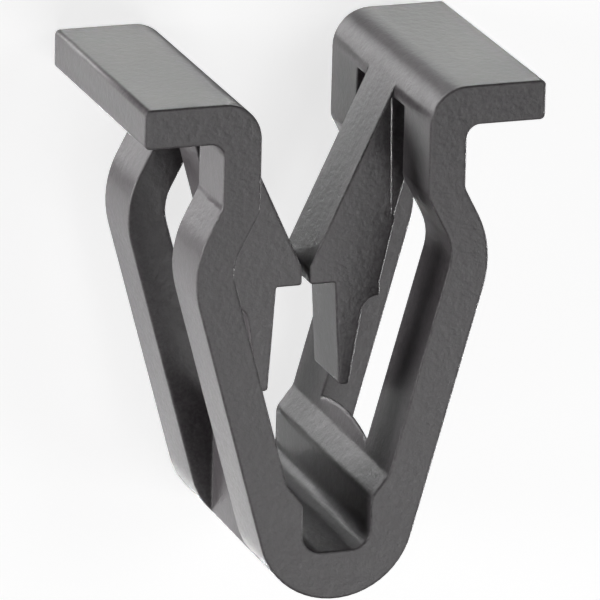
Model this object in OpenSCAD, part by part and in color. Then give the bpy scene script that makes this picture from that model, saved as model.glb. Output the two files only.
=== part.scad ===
// Push-in trim clip, moulded in one piece. It lies on its back profile face:
// X runs across the flanges, Y from the round base up to the flanges, Z from the back to the front.

/* [Overall] */
// Width across the tips of the two flanges
span = 15; // [13:0.5:18]
// Height from the lowest point of the base to the flange tops
clip_h = 18.9; // [18:0.1:21]
// Depth from the back face to the front face
depth = 10.6; // [9:0.1:14]

/* [Flanges] */
// Thickness of the flanges
flange_t = 1.45; // [1:0.05:2]
// Rounding of each flange tip
tip_r = 0.2; // [0.05:0.05:0.5]
// Rounding where a flange's top runs into the arm's inner face
bend_r = 1.4; // [0.8:0.1:2]
// Fillet under the flange, at the arm's outer face
under_r = 0.5; // [0.2:0.1:0.8]

/* [Arms] */
// Width of the neck that sits in the panel's slot
neck_w = 9.1; // [8.5:0.1:10]
// Wall of the neck
neck_wall = 1.4; // [1.1:0.05:1.6]
// Height of the straight neck below the flanges
neck_h = 2.35; // [1.8:0.05:3]
// Lean of the shoulder that snaps behind the panel, from upright
shoulder_angle = 27.5; // [20:0.5:32]
// Wall of the shoulder
shoulder_wall = 1.35; // [1.1:0.05:1.6]
// Height at which the shoulder would meet the long taper
bulge_h = 12.8; // [12:0.1:13.5]
// Wall of the long taper
taper_wall = 1.5; // [1.2:0.05:1.8]
// Rounding of the neck's lower corners
neck_r = 0.6; // [0.2:0.1:1]
// Rounding of the bulge, outside
bulge_r = 3.7; // [2:0.1:4]
// Rounding of the bulge, inside
bulge_inner_r = 1.8; // [1:0.1:2.5]

/* [Base] */
// Radius of the round base
base_r = 2.95; // [2.6:0.05:3.2]
// Thickness of the base under the pocket
base_t = 1.82; // [1.4:0.02:2.4]
// Width of the pocket that takes the tip of the rib
pocket_w = 2.58; // [2:0.02:3]
// Height of the pocket's straight walls, floor to shoulder
pocket_h = 1.88; // [1.4:0.02:2.2]
// Lean of the pocket's shoulders, from upright
pocket_angle = 38; // [30:1:50]
// Rounding of the pocket's floor corners
pocket_r = 0.75; // [0.3:0.05:0.9]
// Rounding at the top and at the foot of the pocket's shoulders
pocket_shoulder_r = 0.6; // [0.3:0.05:0.9]

/* [Windows] */
// Width of each window, along the depth
window_w = 5.04; // [4:0.02:6]
// Distance from the middle to the upright corners of each window's lower end
window_x = 2.07; // [1.8:0.01:2.5]
// Amount by which the wall at that end bows outwards between its corners
end_bow = 0.08; // [0.05:0.01:0.3]

/* [Tongues] */
// Width of each tongue, along the depth
tongue_w = 2.74; // [2:0.02:3.2]
// Gap between the two noses
nose_gap = 0.3; // [0.2:0.02:0.8]
// Height of the underside of each nose
nose_h = 10.63; // [10.2:0.01:11]
// Height of a nose's upright face
nose_face = 0.67; // [0.4:0.01:1]
// Small rounding of a nose's lower edge
nose_r = 0.12; // [0.05:0.01:0.2]
// Distance from the middle to the top of the leg's inner face
leg_x = 1.12; // [0.9:0.02:1.4]
// Lean of the leg's inner face, from upright
leg_lean = 3.5; // [2:0.5:5]
// Height of the leg's lower tip
leg_h = 6.72; // [6.2:0.01:8]
// Width of the leg at its tip
leg_tip_w = 0.38; // [0.32:0.01:0.4]
// Rounding of the leg's tip
leg_tip_r = 0.15; // [0.05:0.01:0.16]
// Lean of the leg's outer face, from upright
leg_taper = 9; // [6:0.5:12]
// Height of the step from the tongue's heel to the leg
heel_h = 10; // [9.6:0.1:10.3]
// Height of the heel's short upright end
heel_end = 0.55; // [0.4:0.05:0.8]
// Distance from the middle to the heel's end
heel_x = 2.84; // [2.6:0.02:3]
// Rounding between the heel's underside and the leg
heel_r = 0.62; // [0.3:0.02:0.64]
// Distance from the middle to the tongue's waist
waist_x = 3.34; // [3.2:0.02:3.5]
// Height of the tongue's waist, where its outer side turns up to the root
waist_h = 12.8; // [12.4:0.1:13.4]
// Distance from the middle to the outer side of the root, under the flange
root_x = 4.62; // [4.4:0.02:4.8]
// Step by which the root's two side faces stand back from the tongue's
root_step = 0.15; // [0.05:0.01:0.3]

/* [Hidden] */
$fn = 96;
// Overlap that lets one solid run cleanly into the next
bite = 0.2;
// Length by which a cutter stands past what it cuts
past = 2;
// Distance of the root's edge from the ramp and from the waist
root_edge = 0.12;
// Depth to which the ramp's line cuts into the bend, so that they cross instead of only touching
ramp_cut = 0.01;
// Amount by which a rounding's circle crosses its two lines, so that it never only grazes them
crossing = 0.0001;

// A point reached from p by going down a line that leans by angle from upright, outwards, to height y
function at_height(p, angle, y) = [p.x + (p.y - y) * tan(angle), y];
// Meeting point of two lines, each given by a point and its lean from upright, outwards going down
function meet(p, a, q, b) =
    let (y = (p.x - q.x + p.y * tan(a) - q.y * tan(b)) / (tan(a) - tan(b)))
    at_height(p, a, y);
function mirrored(points) = [for (p = points) [-p.x, p.y]];
function reversed(points) = [for (i = [len(points) - 1:-1:0]) points[i]];
function unit(v) = v / norm(v);

base_mid = [0, base_r];
flange_y = clip_h - flange_t;
neck_out = neck_w / 2;
neck_in = neck_out - neck_wall;
neck_foot = [neck_out, flange_y - neck_h];
bulge = at_height(neck_foot, shoulder_angle, bulge_h);
// The long taper runs from the bulge to touch the round base
to_base = bulge - base_mid;
taper_angle = atan(to_base.x / to_base.y) - asin(base_r / norm(to_base));
taper_foot = base_mid + base_r * [cos(taper_angle), -sin(taper_angle)];

shoulder_in = neck_foot - shoulder_wall * [cos(shoulder_angle), sin(shoulder_angle)];
taper_in = taper_foot - taper_wall * [cos(taper_angle), -sin(taper_angle)];
neck_foot_in = meet([neck_in, flange_y], 0, shoulder_in, shoulder_angle);
bulge_in = meet(shoulder_in, shoulder_angle, taper_in, -taper_angle);
pocket_top = [pocket_w / 2, base_t + pocket_h];
pocket_shoulder = meet(taper_in, -taper_angle, pocket_top, -pocket_angle);
pocket_floor = [pocket_w / 2, base_t];

// The ramp runs from the nose's top to the bend, which it almost touches
nose_top = [nose_gap / 2, nose_h + nose_face];
bend_mid = [neck_in + bend_r, clip_h - bend_r];
to_bend = bend_mid - nose_top;
ramp_angle = atan(to_bend.x / to_bend.y) - asin((bend_r - ramp_cut) / norm(to_bend));
ramp_top = bend_mid + (bend_r - ramp_cut) * [-cos(ramp_angle), sin(ramp_angle)];

// What lies between a corner and its rounding, and a bite beyond the corner's two lines;
// a and b are the outline's neighbours of the corner
module rounding(a, corner, b, r) {
    to_a = unit(a - corner);
    to_b = unit(b - corner);
    half = acos(to_a * to_b) / 2;
    middle = corner + r / sin(half) * unit(to_a + to_b);
    touch = r / tan(half);
    difference() {
        polygon([for (p = [middle, corner + touch * to_a, corner, corner + touch * to_b])
            middle + (p - middle) * (r + bite) / r]);
        translate(middle) circle(r + crossing);
    }
}

// The same on both sides of the middle
module roundings(a, corner, b, r) {
    rounding(a, corner, b, r);
    mirror([1, 0]) rounding(a, corner, b, r);
}

module outer_outline() {
    tip_top = [span / 2, clip_h];
    tip_low = [span / 2, flange_y];
    under = [neck_out, flange_y];
    side = [tip_top, tip_low, under, neck_foot, bulge, taper_foot];
    difference() {
        union() {
            polygon(concat(side, [base_mid], reversed(mirrored(side))));
            translate(base_mid) circle(base_r + crossing);
            roundings(tip_low, under, neck_foot, under_r);
            roundings(under, neck_foot, bulge, neck_r);
        }
        roundings([0, clip_h], tip_top, tip_low, tip_r);
        roundings(tip_top, tip_low, under, tip_r);
        roundings(neck_foot, bulge, taper_foot, bulge_r);
    }
}

module inner_outline() {
    mouth = [neck_in, clip_h + past];
    top = [neck_in, clip_h];
    side = [mouth, neck_foot_in, bulge_in, pocket_shoulder, pocket_top, pocket_floor];
    difference() {
        union() {
            polygon(concat(side, reversed(mirrored(side))));
            roundings([span / 2, clip_h], top, neck_foot_in, bend_r);
            roundings(top, neck_foot_in, bulge_in, neck_r);
            roundings(pocket_shoulder, pocket_top, pocket_floor, pocket_shoulder_r);
        }
        roundings(neck_foot_in, bulge_in, pocket_shoulder, bulge_inner_r);
        roundings(bulge_in, pocket_shoulder, pocket_top, pocket_shoulder_r);
        roundings(pocket_top, pocket_floor, [0, base_t], pocket_r);
    }
}

module profile() {
    difference() {
        outer_outline();
        inner_outline();
    }
}

// Both windows run from the flanges' underside down through the outer corner of the base
module windows() {
    bow_r = (pow(window_w / 2, 2) + pow(end_bow, 2)) / (2 * end_bow);
    for (side = [0, 1]) mirror([side, 0, 0]) difference() {
        translate([window_x, -past, (depth - window_w) / 2]) cube([span, flange_y + past, window_w]);
        translate([window_x + end_bow - bow_r, -2 * past, depth / 2]) rotate([-90, 0, 0])
            cylinder(r = bow_r + crossing, h = clip_h + 3 * past);
    }
}

module tongue_outline() {
    nose_low = [nose_gap / 2, nose_h];
    leg_top = [leg_x, nose_h];
    leg_low = at_height(leg_top, leg_lean, leg_h);
    leg_out = leg_low + [leg_tip_w, 0];
    leg_heel = at_height(leg_out, -leg_taper, heel_h);
    heel_low = [heel_x, heel_h];
    heel_top = [heel_x, heel_h + heel_end];
    waist = [waist_x, waist_h];
    root_out = [root_x, flange_y];
    difference() {
        union() {
            polygon([ramp_top, nose_top, nose_low, leg_top, leg_low, leg_out, leg_heel,
                heel_low, heel_top, waist, root_out, root_out + [0, bite]]);
            rounding(leg_out, leg_heel, heel_low, heel_r);
        }
        rounding(nose_top, nose_low, leg_top, nose_r);
        rounding(leg_top, leg_low, leg_out, leg_tip_r);
        rounding(leg_low, leg_out, leg_heel, leg_tip_r);
    }
}

// The part of a tongue that lies in the arm's window, down to just above the waist
module root_outline() {
    top = at_height(ramp_top, -ramp_angle, flange_y) + [root_edge, 0];
    foot = [waist_x - root_edge, waist_h + root_edge];
    polygon([top, foot, foot + [span, 0], top + [span, 0]]);
}

module tongues() {
    for (side = [0, 1]) mirror([side, 0, 0]) translate([0, 0, depth / 2]) difference() {
        translate([0, 0, -tongue_w / 2]) linear_extrude(tongue_w) tongue_outline();
        for (face = [0, 1]) mirror([0, 0, face])
            translate([0, 0, tongue_w / 2 - root_step]) linear_extrude(past) root_outline();
    }
}

module trim_clip() {
    color([0.3, 0.29, 0.3]) translate([0, -clip_h / 2, 0]) {
        difference() {
            linear_extrude(depth) profile();
            windows();
        }
        tongues();
    }
}

trim_clip();
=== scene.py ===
import math

import bpy
from mathutils import Matrix, Vector


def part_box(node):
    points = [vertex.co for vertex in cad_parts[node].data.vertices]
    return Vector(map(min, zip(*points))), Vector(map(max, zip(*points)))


MM = 0.001
WHITE = (1, 1, 1, 1)
GLOSS_SHARE = 0.1  # of the white surroundings, what the clip's gloss shows

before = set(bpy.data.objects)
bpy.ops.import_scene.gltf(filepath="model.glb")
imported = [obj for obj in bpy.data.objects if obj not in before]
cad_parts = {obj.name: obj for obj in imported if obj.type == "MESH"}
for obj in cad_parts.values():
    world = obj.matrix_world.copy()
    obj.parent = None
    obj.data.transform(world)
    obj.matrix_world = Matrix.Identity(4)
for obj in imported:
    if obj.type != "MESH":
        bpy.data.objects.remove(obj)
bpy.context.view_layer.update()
scene = bpy.context.scene
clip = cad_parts["trim_clip"]


class Nodes:
    """Short calls for building a node tree."""

    def __init__(self, owner):
        owner.use_nodes = True
        self.tree = owner.node_tree
        self.tree.nodes.clear()

    def add(self, kind, inputs=(), **settings):
        """A new node. An input is either another node's socket, which is linked, or a plain value."""
        node = self.tree.nodes.new(kind)
        for key, value in settings.items():
            setattr(node, key, value)
        for key, value in dict(inputs).items():
            if isinstance(value, bpy.types.NodeSocket):
                self.tree.links.new(value, node.inputs[key])
            else:
                node.inputs[key].default_value = value
        return node

    def mapping(self, place, shift, turn=(0, 0, 0), stretch=(1, 1, 1)):
        node = self.add("ShaderNodeMapping", {
            "Vector": place, "Location": shift, "Rotation": turn, "Scale": stretch,
        })
        return node.outputs["Vector"]

    def noise(self, at, per_mm, detail=2.0, rough=0.5):
        """Noise with that many features a millimetre, about 0.5 in the middle."""
        node = self.add("ShaderNodeTexNoise", {
            "Vector": at, "Scale": per_mm / MM, "Detail": detail, "Roughness": rough,
        })
        return node.outputs["Fac"]

    def span(self, value, low, high, to_low, to_high):
        """value from low to high becomes to_low to to_high, and stays there outside."""
        node = self.add("ShaderNodeMapRange", {
            "Value": value, "From Min": low, "From Max": high, "To Min": to_low, "To Max": to_high,
        })
        return node.outputs["Result"]

    def math(self, operation, a, b):
        return self.add("ShaderNodeMath", {0: a, 1: b}, operation=operation).outputs[0]

    def mix(self, share, a, b):
        """Colour a, with that share of colour b. The node's colour sockets have no names of their own."""
        share_in, a_in, b_in, colour_out = 0, 6, 7, 2
        node = self.add("ShaderNodeMix", {share_in: share, a_in: a, b_in: b}, data_type="RGBA")
        return node.outputs[colour_out]

    def bump(self, height, strength, depth_mm, normal):
        node = self.add("ShaderNodeBump", {
            "Height": height, "Strength": strength, "Distance": depth_mm * MM, "Normal": normal,
        })
        return node.outputs["Normal"]


def moulded_plastic():
    """Dark grey moulded nylon: mottled in three sizes, a fine matt grain and a few paler flow streaks."""
    mauve, grey = (0.067, 0.058, 0.064, 1), (0.064, 0.06, 0.062, 1)
    paler, streak = (0.11, 0.101, 0.106, 1), (0.15, 0.142, 0.144, 1)
    tone_low, tone_high = 0.42, 0.62
    soft_edge = 0.13 * MM  # how far the shading of a sharp edge runs

    material = bpy.data.materials.new("moulded_plastic")
    n = Nodes(material)
    place = n.add("ShaderNodeTexCoord").outputs["Object"]
    # Shifted and turned, so that no face lies along the grid that the noise is built on
    shift = (0.031, 0.047, 0.023)
    at = n.mapping(place, shift, turn=(0.5, 0.9, 0.4))
    patches = n.noise(at, 0.6)
    mottle = n.noise(at, 3.2)
    grain = n.noise(at, 8.0, rough=0.6)
    tint = n.noise(at, 4.0, detail=1.0)
    # The streaks run from the back face to the front one
    streaks = n.noise(n.mapping(place, shift, stretch=(1, 1, 0.15)), 1.8, detail=3.0)

    tone = n.math("ADD", n.math("MULTIPLY", mottle, 0.3), n.math("MULTIPLY", grain, 0.55))
    tone = n.math("ADD", tone, n.math("MULTIPLY", patches, 0.15))
    colour = n.mix(n.span(tint, 0.38, 0.62, 0.0, 1.0), mauve, grey)
    colour = n.mix(n.span(tone, tone_low, tone_high, 0.0, 1.0), colour, paler)
    colour = n.mix(n.span(streaks, 0.55, 0.8, 0.0, 0.2), colour, streak)

    rounded = n.add("ShaderNodeBevel", {"Radius": soft_edge}, samples=6).outputs["Normal"]
    normal = n.bump(mottle, 0.4, 0.03, rounded)
    normal = n.bump(grain, 0.5, 0.012, normal)
    shader = n.add("ShaderNodeBsdfPrincipled", {
        "Base Color": colour, "Roughness": n.span(tone, tone_low, tone_high, 0.28, 0.4),
        "Normal": normal, "IOR": 1.5, "Specular IOR Level": 0.62,
    })
    n.add("ShaderNodeOutputMaterial", {"Surface": shader.outputs["BSDF"]})
    return material


def rounded_edges(piece):
    """Flat faces become single faces again, and the sharp edges get the small round of a mould."""
    weld = piece.modifiers.new("weld", "WELD")
    weld.merge_threshold = 0.0005 * MM
    flat = piece.modifiers.new("flat", "DECIMATE")
    flat.decimate_type = "DISSOLVE"
    flat.angle_limit = math.radians(0.2)
    edge = piece.modifiers.new("edge", "BEVEL")
    edge.limit_method = "ANGLE"
    edge.angle_limit = math.radians(28)
    edge.width = 0.05 * MM
    edge.segments = 2
    edge.use_clamp_overlap = False
    edge.miter_outer = "MITER_ARC"
    # The shading runs on smoothly where a flat face meets an arc
    normals = piece.modifiers.new("normals", "WEIGHTED_NORMAL")
    normals.keep_sharp = False


def pale(n):
    """Strength of the white that the camera and glass see, and gloss in part."""
    path = n.add("ShaderNodeLightPath").outputs
    white = n.math("MAXIMUM", path["Is Camera Ray"], path["Is Transmission Ray"])
    return n.math("MAXIMUM", white, n.math("MULTIPLY", path["Is Glossy Ray"], GLOSS_SHARE))


def plain_floor():
    """Pale floor under the clip. It shows the clip's shadow, and blocks no lamp that stands below it."""
    half = 1.2
    gap = 0.01 * MM
    grey, glow = (0.6, 0.6, 0.6, 1), 0.75

    mesh = bpy.data.meshes.new("floor")
    corners = [(-half, -half, 0), (half, -half, 0), (half, half, 0), (-half, half, 0)]
    mesh.from_pydata(corners, [], [(0, 1, 2, 3)])
    floor = bpy.data.objects.new("floor", mesh)
    scene.collection.objects.link(floor)
    floor.location.z = -gap
    floor.visible_shadow = False

    material = bpy.data.materials.new("floor")
    n = Nodes(material)
    diffuse = n.add("ShaderNodeBsdfDiffuse", {"Color": grey})
    white = n.add("ShaderNodeEmission", {"Color": WHITE, "Strength": n.math("MULTIPLY", pale(n), glow)})
    both = n.add("ShaderNodeAddShader", {0: diffuse.outputs["BSDF"], 1: white.outputs["Emission"]})
    n.add("ShaderNodeOutputMaterial", {"Surface": both.outputs["Shader"]})
    mesh.materials.append(material)


def white_world():
    world = bpy.data.worlds.new("studio")
    scene.world = world
    n = Nodes(world)
    background = n.add("ShaderNodeBackground", {"Color": WHITE, "Strength": pale(n)})
    n.add("ShaderNodeOutputWorld", {"Surface": background.outputs["Background"]})


def lamp(name, around, up, watts, away=600, size=260, aim=(0, 0, 5)):
    """A round soft box, with away, size and aim in mm. In the photograph's view, around is 0 at the left,
    90 behind the clip, 180 at the right and 270 in front, and up is the height over the aim, both in
    degrees."""
    data = bpy.data.lights.new(name, "AREA")
    data.shape = "DISK"
    data.size = size * MM
    data.energy = watts
    data.cycles.use_multiple_importance_sampling = False
    light = bpy.data.objects.new(name, data)
    scene.collection.objects.link(light)
    around, up = math.radians(around), math.radians(up)
    back = Vector((-math.cos(around) * math.cos(up), math.sin(up), -math.sin(around) * math.cos(up)))
    light.location = (Vector(aim) + back * away) * MM
    light.rotation_mode = "QUATERNION"
    light.rotation_quaternion = back.to_track_quat("Z", "Y")


def lying(v):
    """From the axes of the clip as the photograph shows it, standing, to those of the clip lying down."""
    return Vector((v.x, v.z, -v.y))


def photo_camera():
    """The camera that was fitted to the photograph, which sees the standing clip from the left and above.
    Lengths are in mm, with x across the clip, y away from its front face and z up from its base."""
    azimuth, elevation, roll = (math.radians(a) for a in (19.4918, 18.1076, 1.3592))
    target = Vector((-1.606, 0.0, 11.448))
    distance = 291.08
    focal_pixels, image_pixels = 8201.62, 600
    sensor = 36

    forward = Vector((math.sin(azimuth) * math.cos(elevation), math.cos(azimuth) * math.cos(elevation),
                      -math.sin(elevation)))
    right = forward.cross(Vector((0, 0, 1))).normalized()
    up = right.cross(forward)
    right, up = (right * math.cos(roll) + up * math.sin(roll),
                 up * math.cos(roll) - right * math.sin(roll))
    place = target - forward * distance

    data = bpy.data.cameras.new("camera")
    data.sensor_width = sensor
    data.lens = focal_pixels / image_pixels * sensor
    data.clip_start, data.clip_end = 0.01, 10
    camera = bpy.data.objects.new("camera", data)
    scene.collection.objects.link(camera)
    low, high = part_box("trim_clip")
    base_at_front = Vector((0, low[1], high[2]))
    turn = Matrix((lying(right), lying(up), -lying(forward))).transposed().to_4x4()
    camera.matrix_world = Matrix.Translation(lying(place) * MM + base_at_front) @ turn
    scene.camera = camera


photo_camera()
plain_floor()
white_world()

# Outer sides of the arms
lamp("left", 0, 10, 3.5)
lamp("left_low", 0, -20, 1.0)
# Shine on the tongues' ramps, the pocket, and the sides that face left
lamp("back_left", 74, 10, 0.5)
lamp("back_left_mid", 65, -5, 0.04)
lamp("back_left_low", 70, -20, 0.155)
# Shine on the flange tops and their bends, and on the round base
lamp("back_right", 110, 17, 0.255)
lamp("back", 95, 25, 0.11)
lamp("back_low", 95, -35, 0.37)
# The sides that the photograph doesn't show
lamp("right", 180, -20, 2.5)
# Front faces
lamp("front_right", 240, 10, 0.3)
lamp("front_low", 266, -14, 0.65)
# A small one near the lower right, so that the front faces shine less towards the upper left
lamp("front_near", 250, -18, 0.0037, away=60, size=30, aim=(8, -9, 10))

rounded_edges(clip)
clip.data.materials.clear()
clip.data.materials.append(moulded_plastic())

scene.view_settings.view_transform = "Standard"
